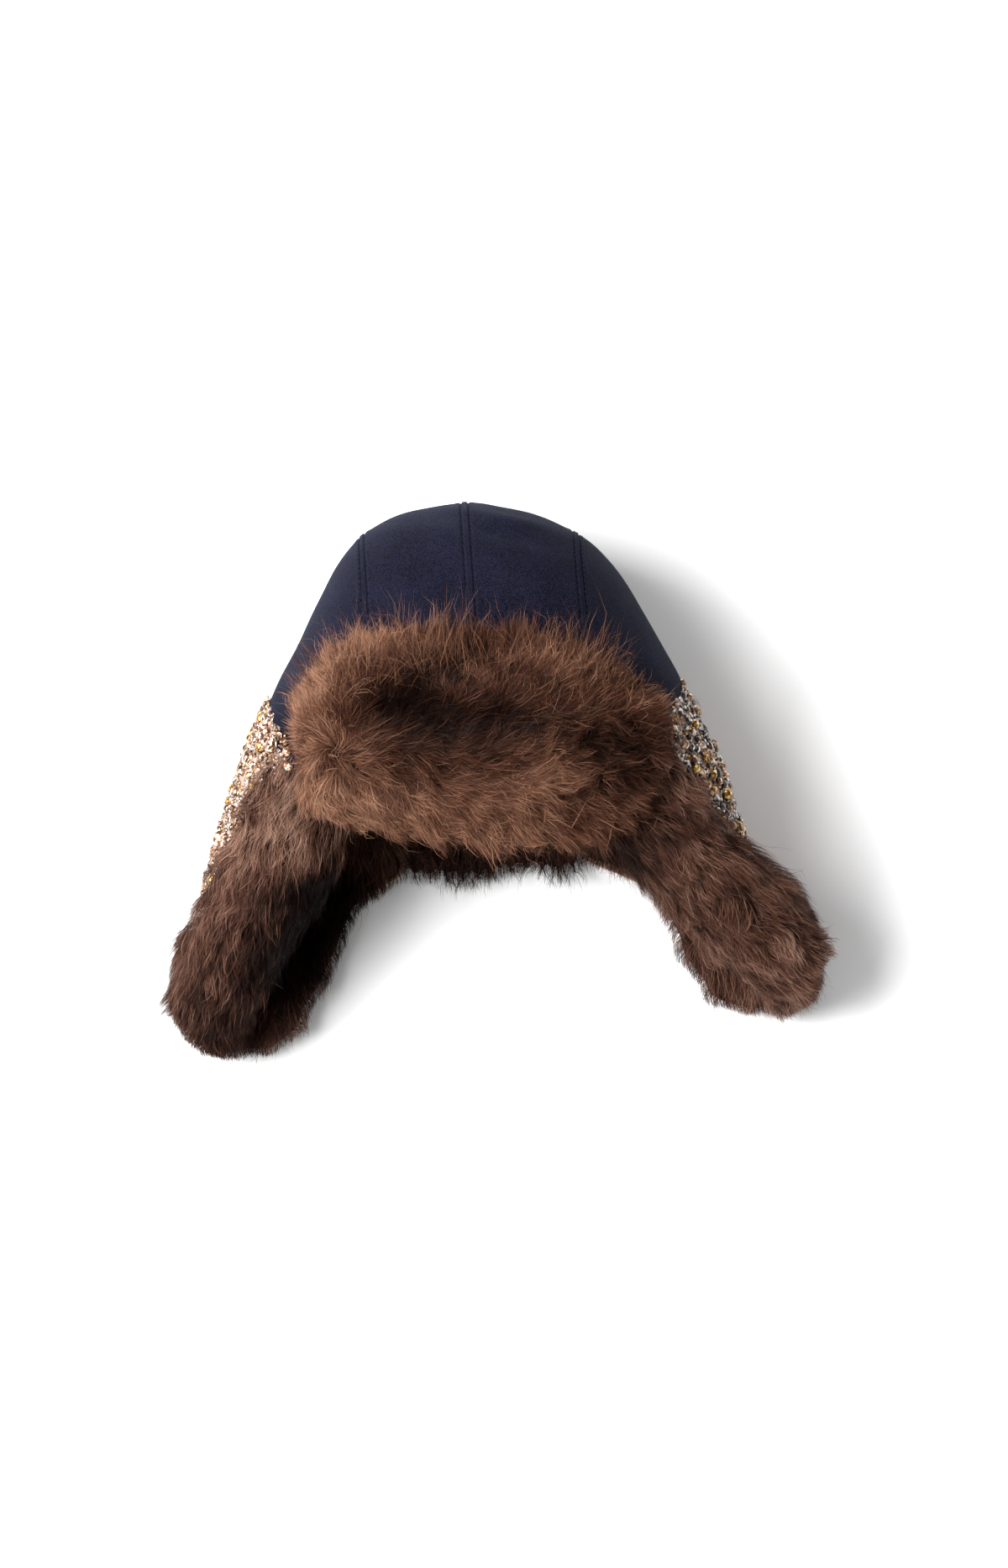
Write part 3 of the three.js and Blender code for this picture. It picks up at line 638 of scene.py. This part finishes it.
# x, y, how much lighter or darker the hair is, reach: the fur's own patches, and painted shade in the hollows
# between the bands. The darker ones also sink the skin.
BRIM_TONES_AND_SHADE = [
    (-62, 34, -0.36, 14), (-46, 38, -0.3, 13), (-31, 41, -0.24, 11), (-13, 53, -0.3, 8), (-46, 18, -0.22, 15),
    (-24, 23, -0.2, 14), (55, 20, -0.08, 24), (4, 24, -0.28, 8), (27, 22, -0.3, 9), (46, 13, -0.28, 8),
    (64, 7, -0.28, 9), (81, 1, -0.26, 9), (28, 0, 0.16, 10), (-56, 65, 0.17, 19), (-82, 40, 0.28, 15),
    (-66, -10, 0.14, 17), (-28, -24, 0.01, 17), (-1, -19, -0.02, 15), (53, -19, -0.16, 17),
    (95, 13, 0.02, 14), (4, 18, -0.3, 12), (-18, 20, -0.14, 12), (8, 62, -0.26, 18), (-60, -24, -0.06, 14),
    (-52, 37, -0.06, 16), (75, 41, -0.14, 16),
]
BRIM_COMBS = [(x, y, z, across, up, 0, reach) for x, y, z, across, up, reach in (
    (-86, 61, 150, -0.42, 0.91, 14), (-56, 77, 150, -0.17, 0.99, 16), (-6, 77, 155, 0.13, 0.99, 16),
    (20, 71, 155, 0.23, 0.97, 16), (50, 59, 155, 0.27, 0.96, 16), (80, 42, 150, 0.66, 0.75, 15),
    (101, 18, 145, 0.90, 0.44, 14), (108, -8, 140, 0.88, -0.48, 14), (-41, 59, 175, 0.1, 0.99, 14),
    (-19, 58, 178, 0.27, 0.96, 14), (-64, 42, 160, 0.1, 0.99, 12), (-80, 36, 150, -0.45, 0.89, 12),
    (-94, 20, 145, -0.9, 0.3, 10), (-88, 2, 150, -0.35, -0.93, 12), (-32, 27, 188, 0.75, 0.66, 12),
    (-52, 15, 175, 0.95, 0.3, 11), (-18, 8, 185, 0.9, -0.43, 14), (1, 27, 188, 0.85, 0.53, 12),
    (32, 23, 185, 0.70, 0.72, 11), (56, 25, 180, 0.66, 0.75, 13), (59, 3, 180, 1.00, -0.08, 13),
    (81, 1, 165, 1.00, 0.03, 12), (-72, -4, 155, 0.35, -0.94, 12), (-56, -15, 160, 0.65, -0.76, 14),
    (-37, -25, 155, 0.68, -0.73, 14), (-15, -36, 150, 0.62, -0.78, 14), (7, -38, 150, 0.55, -0.83, 14),
    (30, -31, 155, 0.68, -0.74, 14), (57, -28, 155, 0.83, -0.55, 14), (87, -22, 150, 0.92, -0.40, 14),
)]
BRIM_PUSHES = [
    (-90, 44, 5, -2, 18), (-104, 25, 16, 0, 14), (-84, -4, -7, -3, 9), (-50, 76, 1, -5, 20),
    (-10, 80, 0, -8, 20), (30, 74, 0, -6, 20), (64, 56, -1, -4, 16), (98, 44, -9, -6, 13),
    (-82, -18, 0, -5, 12),
]
# name, seed, area
BRIM_PARTS = (
    ("upper_left", 11, (-200, 12, 22, 200)), ("upper_right", 12, (8, 200, 22, 200)),
    ("lower_left", 13, (-200, 2, -90, 26)), ("lower_right", 14, (-2, 200, -90, 26)),
)
brim_skin = fur_skin("brim_fur_skin", "brim_fur", "brim_fur", 1.5, BRIM_TONES_AND_SHADE, BRIM_PUSHES)
for part, seed, area in BRIM_PARTS:
    lay_fur("brim_fur_" + part, brim_skin, seed, 32000, 18, BRIM_COMBS, BRIM_TONES_AND_SHADE, 0.57, area, tan_hair,
            curl=1.4, behind=[crown, brim_wool], slot="brim_fur")
lay_fur("brim_fur_wisps", brim_skin, 15, 1900, 24, BRIM_COMBS, [], 0.6, (-95, 110, 44, 200), tan_hair,
        width=0.15, lift=(55, 32, 10), stand=0.55, curl=2.2, clumping=0, trim=0, slot="brim_fur")


# The ear flaps' outer cloth: a nude woven fabric that carries the beads. It is sewn to the crown's lower edge
# and keeps the form of its CAD node.
nude, nodes = new_finish("nude_cloth", Roughness=0.85, Sheen_Weight=0.15)
weave = nodes.node("ShaderNodeTexCoord", out="Object").noise(1400.0, Detail=1.0)
feed(nude, "Base Color", weave.mixed((0.30, 0.165, 0.12), (0.50, 0.31, 0.235)))
feed_bump(nude, weave, 0.5, 0.0004)

flap_cloths = {}
for side in ("left", "right"):
    node = "ear_flap_cloth_" + side
    flap_cloths[side] = smooth_copy("flap_cloth_" + side, node, 1.1, 6)
    apply_modifier(flap_cloths[side], "DECIMATE", ratio=0.6)
    finish_piece(flap_cloths[side], nude, "lining", node)


# The bead fields: a nude net over the cloth, covered with small glass and metal beads, and cut stones in
# silver settings sewn on among them.
silver, _ = new_finish("bead_silver", Base_Color=(0.36, 0.32, 0.29, 1), Metallic=1.0, Roughness=0.25)
gold, _ = new_finish("bead_gold", Base_Color=(0.55, 0.32, 0.11, 1), Metallic=1.0, Roughness=0.25)
pearl, _ = new_finish("bead_pearl", Base_Color=(0.43, 0.29, 0.22, 1), Roughness=0.3, Coat_Weight=0.5)


def glass_with_painted_glints(name, *shades):
    """Cut glass with painted reflections and glints: its facets are painted darker and brighter at random,
    between four colours, for the stones' dark reflections and bright sparkle.
    """
    glass, nodes = new_finish(name, Roughness=0.1, Metallic=0.4)
    place = nodes.node("ShaderNodeTexCoord", out="Object")
    chip = place.node("ShaderNodeTexVoronoi", None, {"Vector": place, "Scale": 640.0}, "Color")
    facet = chip.node("ShaderNodeSeparateXYZ", None, {0: chip}, "X")
    stops = list(zip((0.25, 0.42, 0.68, 0.86), shades))
    feed(glass, "Base Color", facet.node("ShaderNodeValToRGB", {"stops": stops}, {"Fac": facet}, "Color"))
    return glass


# each stone's four colours run from a painted dark reflection to a painted white glint
amber = glass_with_painted_glints("crystal_amber", (0.055, 0.02, 0.002), (0.20, 0.085, 0.008), (0.42, 0.21, 0.03),
                  (0.9, 0.66, 0.28))
topaz = glass_with_painted_glints("crystal_topaz", (0.10, 0.042, 0.018), (0.27, 0.12, 0.055), (0.48, 0.27, 0.15),
                  (0.9, 0.75, 0.62))
clear = glass_with_painted_glints("crystal_clear", (0.012, 0.007, 0.005), (0.055, 0.036, 0.028), (0.175, 0.14, 0.12),
                  (0.74, 0.70, 0.67))
rose = glass_with_painted_glints("crystal_rose", (0.055, 0.025, 0.013), (0.19, 0.10, 0.055), (0.34, 0.215, 0.145),
                 (0.72, 0.60, 0.50))
BEAD_LOOKS = {"silver": silver, "gold": gold, "clear": clear, "amber": amber, "topaz": topaz, "pearl": pearl}


def cut_gem(sides):
    """A cut stone of radius and height 1: a girdle, a table with a facet to each side, and a point below."""
    bpy.ops.mesh.primitive_cylinder_add(vertices=sides, radius=MM, depth=0.24 * MM)
    bpy.ops.object.mode_set(mode="EDIT")
    for way, size, rise in ((1, 0.58, 0.5), (-1, 0.3, -0.5)):
        bpy.ops.mesh.select_all(action="DESELECT")
        bpy.ops.object.mode_set(mode="OBJECT")
        for face in bpy.context.object.data.polygons:
            face.select = face.normal.z * way > 0.9
        bpy.ops.object.mode_set(mode="EDIT")
        bpy.ops.mesh.extrude_region_move(TRANSFORM_OT_translate={"value": (0, 0, rise * MM)})
        bpy.ops.transform.resize(value=(size, size, 1))
    bpy.ops.object.mode_set(mode="OBJECT")


round_gem = take_master(lambda: cut_gem(8))
square_gem = take_master(lambda: cut_gem(4))
tray = take_master(lambda: bpy.ops.mesh.primitive_cylinder_add(vertices=10, radius=MM, depth=MM))
seed_bead = take_master(lambda: bpy.ops.mesh.primitive_ico_sphere_add(subdivisions=1, radius=MM))
round_bead = take_master(lambda: bpy.ops.mesh.primitive_ico_sphere_add(subdivisions=2, radius=MM))
bugle = take_master(lambda: bpy.ops.mesh.primitive_cylinder_add(
    vertices=6, radius=MM, depth=2 * MM, rotation=(0, math.pi / 2, 0)))
BEAD_SHAPES = {"seed": seed_bead, "round": round_bead, "gem": round_gem, "bugle": bugle}
# y, z, shape, look, half its length, half its width, height, turn in degrees
STONES = {
    "left": (
        (37.2, 103.0, "round", "clear", 2.4, 2.4, 2.6, 0), (32.6, 104.9, "round", "topaz", 2.8, 2.6, 2.8, 0),
        (30.6, 86.8, "round", "amber", 3.2, 2.4, 2.8, 70), (22.5, 117.8, "round", "topaz", 3.9, 3.3, 3.6, 20),
        (16.2, 109.8, "round", "clear", 2.5, 2.5, 2.6, 0), (16.9, 92.5, "round", "clear", 4.8, 2.3, 2.8, 0),
        (12.9, 104.7, "round", "topaz", 3, 2.2, 2.4, 60), (-1.4, 89.9, "round", "clear", 2.7, 2.7, 3, 0),
        (-16.2, 84.9, "round", "clear", 2.4, 2.4, 2.6, 0), (-26.9, 79.4, "round", "topaz", 2.6, 2.6, 2.8, 0),
        (-29.8, 84.2, "square", "clear", 3.4, 1.3, 2, -25), (22, 38.6, "round", "clear", 2.6, 2.6, 2.6, 0),
        (-18, 34.7, "round", "amber", 2.8, 2.8, 3, 0), (-40, 23.7, "round", "clear", 2.4, 2.4, 2.4, 0),
    ),
    "right": (
        (28.3, 98.3, "round", "clear", 2.6, 2.6, 2.6, 0), (23.2, 94.0, "square", "clear", 3.8, 1.6, 2.4, 0),
        (22.2, 71.8, "round", "amber", 2.8, 2.8, 4.2, 0), (14.1, 93.1, "round", "clear", 2.6, 1.9, 2.4, 0),
        (2.8, 107.6, "round", "clear", 2.5, 2.5, 2.4, 0), (-4.7, 95.3, "round", "topaz", 2.5, 2.5, 2.6, 0),
        (-11.5, 90.1, "round", "clear", 3.2, 3.2, 3, 0), (-24.2, 85.6, "round", "amber", 4.1, 4.1, 4.8, 0),
        (-30.5, 92.3, "round", "clear", 3.2, 2.1, 2.8, 15), (-42.6, 79.7, "round", "amber", 3.6, 3.6, 4.4, 0),
        (-36.5, 92.7, "round", "gold", 2.8, 1.7, 2.4, 70), (20, 35.7, "round", "clear", 2.6, 2.2, 2.6, 40),
        (-14, 21.1, "round", "clear", 3.4, 2.8, 3.2, 0), (-36, 29.8, "round", "topaz", 2.6, 2.6, 2.6, 0),
    ),
}
STONE_SCALE = 1.15
# share of all small beads, shape, look, half its length, radius
SMALL_BEADS = (
    (0.004, "gem", "topaz", 2.9, 2.9), (0.004, "gem", "clear", 3.2, 2.6), (0.002, "gem", "amber", 3.0, 3.0),
    (0.19, "round", "clear", 1.4, 1.4), (0.11, "seed", "silver", 1.1, 1.1),
    (0.06, "round", "pearl", 1.3, 1.3), (0.12, "seed", "gold", 1.1, 1.1), (0.18, "gem", "clear", 2.3, 2.3),
    (0.10, "gem", "topaz", 2.1, 2.1), (0.05, "gem", "amber", 2.1, 2.1), (0.10, "bugle", "clear", 2.6, 0.85),
    (0.08, "bugle", "silver", 2.4, 0.65),
)
BEAD_TRIES = 16000
# a place that fails is left out: each bead keeps this share of the two beads' radii from the next
BEAD_SPACING = 0.86
# y, z and reach of a place where the net shows between the beads
BARE = {"left": (6, 97, 5), "right": (-22, 93, 4)}
# the wool beside the brim's left end has beads up to the fur: the lowest x and y there and the highest, how
# many places are tried, and what x + y comes to along the fur
BESIDE_BRIM = ((-115, 10), (-104, 33))
BESIDE_TRIES = 900
FUR_LINE = -78
wool_trees = [tree_of(crown), tree_of(brim_wool)]

for side, flip in (("left", -1), ("right", 1)):
    field = "bead_field_" + side
    cloth = flap_cloths[side]
    field_tree = tree_of(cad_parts[field])
    net = bpy.data.objects.new("bead_net_" + side, cloth.data.copy())
    net.data.name = net.name
    bpy.context.collection.objects.link(net)
    points, normals = points_of(net.data), normals_of(net.data)
    outward = normals[:, 0] * flip + 0.6 * normals[:, 2] * np.sign(points[:, 2] - 60) > 0.15
    covered = np.array([bool(field_tree.find_nearest(point, 1.7)[0]) for point in points.tolist()])
    inside = covered & outward
    move_points(net.data, points + 0.9 * normals)
    select_only(net)
    bpy.ops.object.mode_set(mode="EDIT")
    bpy.ops.mesh.select_all(action="DESELECT")
    bpy.ops.object.mode_set(mode="OBJECT")
    for face in net.data.polygons:
        face.select = not all(inside[v] for v in face.vertices)
    bpy.ops.object.mode_set(mode="EDIT")
    bpy.ops.mesh.delete(type="FACE")
    bpy.ops.object.mode_set(mode="OBJECT")
    net_tree = tree_of(net)
    rng = np.random.default_rng(21 if side == "left" else 22)
    groups, looks = [], []

    def sew(master, look, places):
        if places:
            groups.append(copies_of(master, places))
            looks.append(rose if look == "clear" and side == "left" else BEAD_LOOKS[look])

    taken = []
    for y, z, shape, look, long, wide, high, turn in STONES[side]:
        hit, normal, _, _ = net_tree.ray_cast(Vector((300 * flip, y, z)), Vector((-flip, 0, 0)))
        if hit is None:
            continue
        hit, normal = np.array(hit), np.array(normal)
        normal = normal * np.sign(normal[0] * flip)
        along = np.array((0, math.cos(math.radians(turn)), math.sin(math.radians(turn)) * -flip))
        taken.append((hit, max(long, wide)))
        long, wide = STONE_SCALE * long, STONE_SCALE * wide
        size = (long, wide, high / 1.24)
        sew(square_gem if shape == "square" else round_gem, look,
            [turned_place(hit + normal * 0.62 * high, along, normal, size)])
        sew(tray, "silver", [turned_place(hit + normal * 0.35, along, normal, (1.1 * long, 1.1 * wide, 1.1))])

    corners, room = triangles_of(net.data)
    spots, picked = scattered(net.data, corners, room, BEAD_TRIES, rng)
    ups = normals_of(net.data)[corners[picked, 0]]
    if side == "left":
        beside = []
        for x, y in rng.uniform(*BESIDE_BRIM, (BESIDE_TRIES, 2)).tolist():
            hits = [tree.ray_cast(Vector((x, y, 300)), Vector((0, 0, -1))) for tree in wool_trees]
            top = max((hit for hit in hits if hit[0]), key=lambda hit: hit[0].z, default=None)
            if top and x + y < FUR_LINE:
                beside.append((top[0] + 0.3 * top[1], top[1]))
        spots = np.concatenate([spots, [spot for spot, up in beside]])
        ups = np.concatenate([ups, [up for spot, up in beside]])
    kinds = rng.choice(len(SMALL_BEADS), size=len(spots), p=np.array([kind[0] for kind in SMALL_BEADS]))
    sewn = [[] for _ in SMALL_BEADS]
    cells = {}
    # the largest find their places first
    for i in np.argsort([-(SMALL_BEADS[kind][4] > 2.5) for kind in kinds], kind="stable"):
        spot, up, kind = spots[i], ups[i], kinds[i]
        _, shape, look, long, wide = SMALL_BEADS[kind]
        bare_y, bare_z, bare_reach = BARE[side]
        if spot[2] < 3 or math.hypot(spot[1] - bare_y, spot[2] - bare_z) < bare_reach:
            continue
        reach = wide + 0.1
        if any(np.linalg.norm(spot - at) < radius + 0.8 for at, radius in taken):
            continue
        cell = tuple((spot // 4).astype(int))
        around = [found for dx in (-1, 0, 1) for dy in (-1, 0, 1) for dz in (-1, 0, 1)
                  for found in cells.get((cell[0] + dx, cell[1] + dy, cell[2] + dz), ())]
        if any(np.linalg.norm(spot - at) < BEAD_SPACING * (reach + radius) for at, radius in around):
            continue
        cells.setdefault(cell, []).append((spot, reach))
        way = unit(np.cross(up, rng.standard_normal(3)))
        lean = unit(up + 0.25 * rng.standard_normal(3))
        lift = 0.55 * wide + 0.25 * rng.random()
        if shape == "bugle":
            lean, lift = up, wide
        sewn[kind].append(turned_place(spot + up * lift, way, lean, (long, wide, wide)))
    for (_, shape, look, _, _), places in zip(SMALL_BEADS, sewn):
        sew(BEAD_SHAPES[shape], look, places)
    beads = joined_mesh("beads_" + side, groups, looks)
    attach(beads, "root")
    apply_modifier(net, "SOLIDIFY", thickness=0.3 * MM, offset=1)
    finish_piece(net, nude, "beads", field)


# The ear flaps' fur: the lining's long hair rolls out round each flap's front edge and its tip, and lies down
# along the flap. Inside the roll it lies in shadow, and its hair is painted darker there as shade.
FLAP_COMBS = {
    "left": [
        (-90, 1, 120, -0.27, -0.96, 0, 22), (-115, -29, 110, -0.32, -0.95, 0, 22),
        (-137, -64, 100, -0.27, -0.96, 0, 24), (-158, -100, 70, -0.27, -0.96, 0, 20),
        (-175, -118, 50, -0.81, -0.59, 0, 16), (-155, -136, 45, -0.08, -1.0, 0, 20),
        (-128, -132, 30, 0.21, -0.98, 0, 16), (-91, -88, 25, 0.17, -0.99, 0, 20),
        (-108, -115, 25, 0.33, -0.94, 0, 18), (-75, -61, 25, 0.12, -0.99, 0, 20),
    ],
    "right": [
        (79, -44, 125, 0.54, -0.84, 0, 20), (95, -72, 115, 0.54, -0.84, 0, 20),
        (121, -98, 95, 0.54, -0.84, 0, 20), (154, -106, 70, 0.80, -0.59, 0, 18),
        (175, -117, 55, 0.96, -0.29, 0, 16), (168, -141, 40, 0.42, -0.91, 0, 16),
        (135, -139, 35, 0.02, -1.0, 0, 16), (96, -108, 25, -0.27, -0.96, 0, 18),
        (70, -73, 25, -0.18, -0.98, 0, 18),
    ],
}
# x, y, how much lighter or darker the hair is, reach: the fur's own patches, and painted shade inside the
# left flap's roll and on the right flap's shadowed back part
FLAP_TONES_AND_SHADE = {
    "left": [
        (-99, -3, 0.22, 26), (-116, -33, 0.12, 26), (-136, -97, -0.12, 22), (-164, -128, -0.16, 20),
        (-129, -55, -0.16, 14), (-150, -128, -0.14, 14), (-89, -48, -0.6, 14), (-102, -70, -0.6, 13),
        (-117, -95, -0.5, 13), (-80, -92, -0.05, 14), (-70, -57, -0.05, 16),
    ],
    "right": [
        (71, -59, 0.16, 9), (88, -84, 0.18, 10), (112, -104, 0.14, 12), (84, -40, -0.14, 14),
        (165, -118, 0.14, 22), (120, -78, -0.02, 13), (150, -92, -0.02, 11), (82, -97, -0.35, 14),
        (62, -58, -0.35, 14), (104, -122, -0.3, 14),
    ],
}
FLAP_PUSHES = {
    "left": [
        (-145, -45, 5, -1, 22), (-165, -80, 4, -1, 20), (-150, -145, 0, -4, 22), (-108, 0, -5, 4, 9),
        (-96, 5, 1, 13, 11), (-183, -121, -4, -2, 12), (-124, -143, 0, -4, 12),
    ],
    "right": [
        (100, -92, 5, 3, 18), (80, -62, 4, 3, 14), (182, -120, -1, -1, 16), (150, -145, 2, -4, 20),
        (102, -115, -2, -2, 11), (122, -135, -2, -3, 11),
    ],
}
# name, what it adds to the seed, area
FLAP_PARTS = (("upper_", 0, (-250, 250, -62, 90)), ("lower_", 1, (-250, 250, -250, -58)))
for side, tone, seed in (("left", 0.52, 31), ("right", 0.5, 33)):
    skin = fur_skin("flap_fur_skin_" + side, "ear_flap_fur_" + side, "flap_fur", 1.5, (), FLAP_PUSHES[side])
    for part, more, area in FLAP_PARTS:
        lay_fur("flap_fur_" + part + side, skin, seed + more, 26000, 18, FLAP_COMBS[side], FLAP_TONES_AND_SHADE[side],
                tone, area, behind=[flap_cloths[side]])


# The piece behind the neck: flat cloth under short dark shearling, with a fringe along its lower edge. It
# runs between the two ear flaps.
NAPE_COMBS = [(-30, -40, 15, 0.05, -1, 0, 30), (30, -40, 15, -0.05, -1, 0, 30)]
NAPE_TONES = [(0, -60, 0.04, 14)]
nape_skin = fur_skin("nape_fur_skin", "nape_fur", "dark_fur", 1.0)
lay_fur("nape_fur_hair", nape_skin, 41, 14000, 15, NAPE_COMBS, NAPE_TONES, 0.22, (-200, 200, -200, 200),
        slot="dark_fur")
nape_wall = smooth_copy("nape_wall", "nape_cloth", 1.1, 4)
apply_modifier(nape_wall, "DECIMATE", ratio=0.3)
finish_piece(nape_wall, nude, "lining", "nape_cloth")
